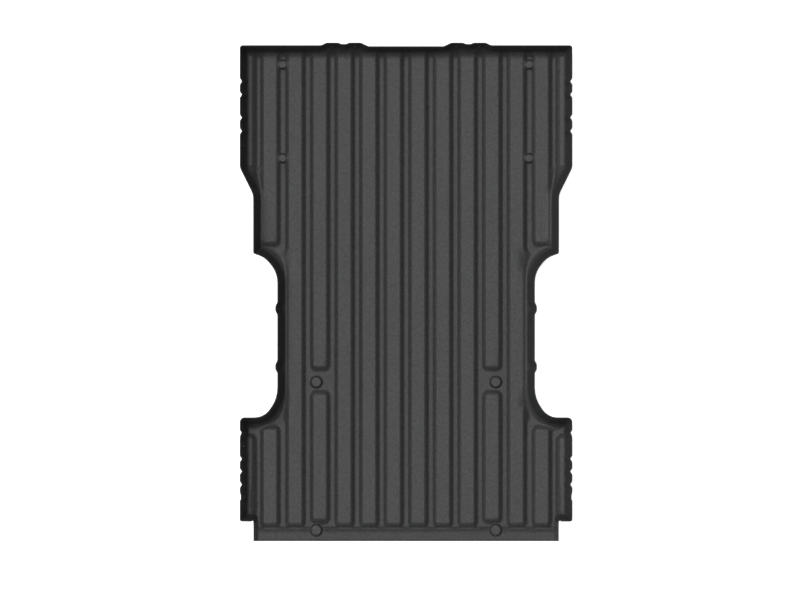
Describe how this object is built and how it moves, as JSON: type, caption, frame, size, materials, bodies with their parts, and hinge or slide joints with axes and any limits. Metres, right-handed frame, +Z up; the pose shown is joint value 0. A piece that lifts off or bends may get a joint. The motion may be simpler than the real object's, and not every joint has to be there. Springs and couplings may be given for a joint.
{
  "type": "truck bed liner",
  "caption": "Moulded pickup bed liner: ribbed tray with low leaning walls, wheelhouse notches, bolt-clearance bosses, a plain sill strip and push-in wall retainers.",
  "frame": {"origin": "on the ground under the middle of the liner's box", "axes": "+Y towards the cab along the liner's length, +X to the right seen from above with the cab ahead, +Z up"},
  "size_m": [1.64, 2.46, 0.15],
  "materials": {
    "liner_polyethylene": "satin, fine pebble grain",
    "retainer_nylon": "satin",
    "pin_acetal": "satin"
  },
  "bodies": {
    "liner": {"liner_tray": "liner_polyethylene", "retainer_body_front_left_inner": "retainer_nylon", "retainer_body_front_left_outer": "retainer_nylon", "retainer_body_left_front": "retainer_nylon", "retainer_body_left_rear": "retainer_nylon", "retainer_body_front_right_inner": "retainer_nylon", "retainer_body_front_right_outer": "retainer_nylon", "retainer_body_right_front": "retainer_nylon", "retainer_body_right_rear": "retainer_nylon"},
    "pin_front_left_inner": {"retainer_pin_front_left_inner": "pin_acetal"},
    "pin_front_left_outer": {"retainer_pin_front_left_outer": "pin_acetal"},
    "pin_left_front": {"retainer_pin_left_front": "pin_acetal"},
    "pin_left_rear": {"retainer_pin_left_rear": "pin_acetal"},
    "pin_front_right_inner": {"retainer_pin_front_right_inner": "pin_acetal"},
    "pin_front_right_outer": {"retainer_pin_front_right_outer": "pin_acetal"},
    "pin_right_front": {"retainer_pin_right_front": "pin_acetal"},
    "pin_right_rear": {"retainer_pin_right_rear": "pin_acetal"}
  },
  "joints": [
    {"name": "pin_front_left_inner_slide", "type": "slide", "parent": "liner", "child": "pin_front_left_inner", "axis": [0, -0.9763, 0.2164], "range_m": [0, 0.012]},
    {"name": "pin_front_left_outer_slide", "type": "slide", "parent": "liner", "child": "pin_front_left_outer", "axis": [0, -0.9763, 0.2164], "range_m": [0, 0.012]},
    {"name": "pin_left_front_slide", "type": "slide", "parent": "liner", "child": "pin_left_front", "axis": [0.9763, 0, 0.2164], "range_m": [0, 0.012]},
    {"name": "pin_left_rear_slide", "type": "slide", "parent": "liner", "child": "pin_left_rear", "axis": [0.9763, 0, 0.2164], "range_m": [0, 0.012]},
    {"name": "pin_front_right_inner_slide", "type": "slide", "parent": "liner", "child": "pin_front_right_inner", "axis": [0, -0.9763, 0.2164], "range_m": [0, 0.012]},
    {"name": "pin_front_right_outer_slide", "type": "slide", "parent": "liner", "child": "pin_front_right_outer", "axis": [0, -0.9763, 0.2164], "range_m": [0, 0.012]},
    {"name": "pin_right_front_slide", "type": "slide", "parent": "liner", "child": "pin_right_front", "axis": [-0.9763, 0, 0.2164], "range_m": [0, 0.012]},
    {"name": "pin_right_rear_slide", "type": "slide", "parent": "liner", "child": "pin_right_rear", "axis": [-0.9763, 0, 0.2164], "range_m": [0, 0.012]}
  ]
}
